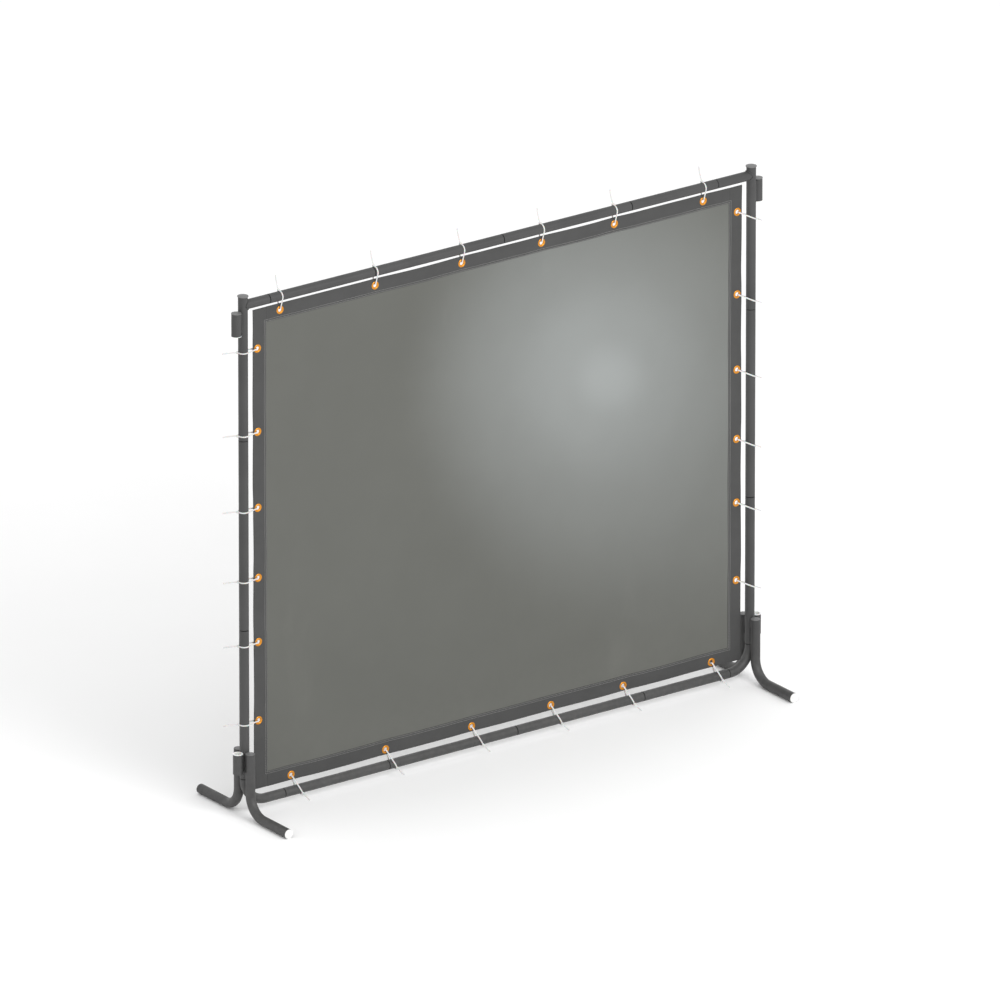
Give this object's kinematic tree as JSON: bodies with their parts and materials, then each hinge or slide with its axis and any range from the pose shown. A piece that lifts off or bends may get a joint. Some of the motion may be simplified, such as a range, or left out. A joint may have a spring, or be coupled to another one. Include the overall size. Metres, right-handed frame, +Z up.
{
  "type": "welding curtain screen",
  "caption": "Free-standing welding screen: a dark PVC curtain laced by cable ties into a plug-together tube frame on bent splayed legs, with sockets for joining another screen.",
  "frame": {"origin": "on the floor, midway between the posts, in the plane of the curtain", "axes": "+X along the rails to the right, +Y to the rear, square to the curtain, +Z up"},
  "size_m": [2.2678, 0.52, 1.9215],
  "materials": {
    "frame_paint": "satin powder coat, dark grey",
    "weld_paint": "painted weld bead",
    "cap_plastic": "moulded, dark grey",
    "foot_plastic": "moulded, white",
    "liner_nylon": "natural white nylon",
    "curtain_pvc": "satin flexible PVC, olive grey",
    "hem_pvc": "doubled and welded PVC, dark grey",
    "eyelet_brass": "bright orange brass",
    "tie_nylon": "natural white nylon"
  },
  "bodies": {
    "root": {"bottom_cable_ties": "tie_nylon", "bottom_eyelet_washers": "eyelet_brass", "bottom_eyelets": "eyelet_brass", "bottom_hem": "hem_pvc", "bottom_rail_1": "frame_paint", "bottom_rail_2": "frame_paint", "bottom_rail_3": "frame_paint", "bottom_rail_4": "frame_paint", "curtain_sheet": "curtain_pvc", "left_cable_ties": "tie_nylon", "left_corner_bend": "frame_paint", "left_eyelet_washers": "eyelet_brass", "left_eyelets": "eyelet_brass", "left_front_foot_plug": "foot_plastic", "left_front_leg": "frame_paint", "left_hem": "hem_pvc", "left_leg_welds": "weld_paint", "left_lower_post": "frame_paint", "left_middle_post": "frame_paint", "left_post_cap": "cap_plastic", "left_rail_stub": "frame_paint", "left_rear_foot_plug": "cap_plastic", "left_rear_leg": "frame_paint", "left_socket_cap": "cap_plastic", "left_upper_post": "frame_paint", "leg_top_plugs": "cap_plastic", "lower_left_socket": "frame_paint", "lower_left_socket_liner": "liner_nylon", "lower_right_socket": "frame_paint", "lower_right_socket_liner": "liner_nylon", "right_cable_ties": "tie_nylon", "right_corner_bend": "frame_paint", "right_eyelet_washers": "eyelet_brass", "right_eyelets": "eyelet_brass", "right_front_foot_plug": "foot_plastic", "right_front_leg": "frame_paint", "right_hem": "hem_pvc", "right_leg_welds": "weld_paint", "right_lower_post": "frame_paint", "right_middle_post": "frame_paint", "right_post_cap": "cap_plastic", "right_rail_stub": "frame_paint", "right_rear_foot_plug": "cap_plastic", "right_rear_leg": "frame_paint", "right_socket_cap": "cap_plastic", "right_upper_post": "frame_paint", "socket_welds": "weld_paint", "stub_welds": "weld_paint", "top_cable_ties": "tie_nylon", "top_eyelet_washers": "eyelet_brass", "top_eyelets": "eyelet_brass", "top_hem": "hem_pvc", "top_rail_1": "frame_paint", "top_rail_2": "frame_paint", "top_rail_3": "frame_paint", "top_rail_4": "frame_paint", "upper_left_socket": "frame_paint", "upper_left_socket_liner": "liner_nylon", "upper_right_socket": "frame_paint", "upper_right_socket_liner": "liner_nylon"}
  },
  "joints": []
}
